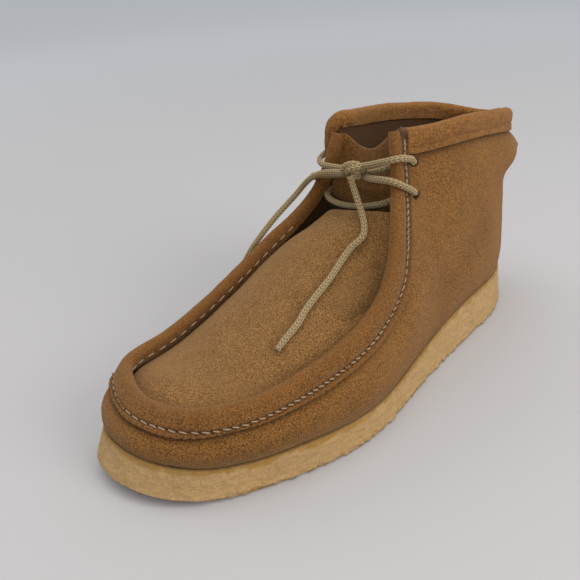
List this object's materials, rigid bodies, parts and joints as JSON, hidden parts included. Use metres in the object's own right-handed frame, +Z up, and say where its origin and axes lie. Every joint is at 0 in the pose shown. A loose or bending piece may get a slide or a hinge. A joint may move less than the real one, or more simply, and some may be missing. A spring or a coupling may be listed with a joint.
{
  "type": "moccasin boot",
  "caption": "Ankle-high lace-up moccasin boot in suede, with a rolled hand-sewn seam round a plug apron, a gusseted tongue and a flat wedge crepe sole.",
  "frame": {"origin": "on the floor under the middle of the box round the boot without its lace knot and lace ends", "axes": "+Z up, the toe points to -Y, the outer side of this left boot is +X"},
  "size_m": [0.1135, 0.3032, 0.1425],
  "materials": {
    "suede": "tan suede, brushed nap",
    "suede_strip": "tan suede, folded and rolled",
    "lining": "unlined flesh side, dark brown",
    "crepe": "rough cream crepe rubber, cut edge",
    "lace": "round braided cotton cord"
  },
  "bodies": {
    "root": {"outsole": "crepe", "insole": "lining", "upper": "suede", "apron": "suede", "tongue": "suede", "moccasin_roll": "suede_strip", "collar_binding": "suede_strip", "lace_lower_bar": "lace", "lace_crossing": "lace", "lace_upper_bar_outer": "lace", "lace_upper_bar_inner": "lace", "lace_knot": "lace", "lace_tail_long": "lace", "lace_tail_inner": "lace"}
  },
  "joints": []
}
